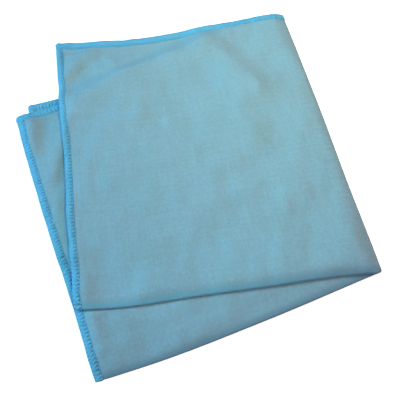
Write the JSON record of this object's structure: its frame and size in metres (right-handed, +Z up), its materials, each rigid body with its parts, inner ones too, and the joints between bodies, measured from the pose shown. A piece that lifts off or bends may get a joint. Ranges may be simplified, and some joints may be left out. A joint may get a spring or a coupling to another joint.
{
  "type": "folded microfibre cloth",
  "caption": "Microfibre cleaning cloth with an overlocked edge, lying folded in half and then in half again, a little askew.",
  "frame": {"origin": "on the surface that the cloth lies on, under the middle of its folded outline", "axes": "+Z up from the surface, +Y towards the cloth's upper hem, +X towards its long folded edge"},
  "size_m": [0.2598, 0.2744, 0.0094],
  "materials": {
    "microfibre": "matt knitted microfibre"
  },
  "bodies": {
    "root": {"cloth": "microfibre"}
  },
  "joints": []
}
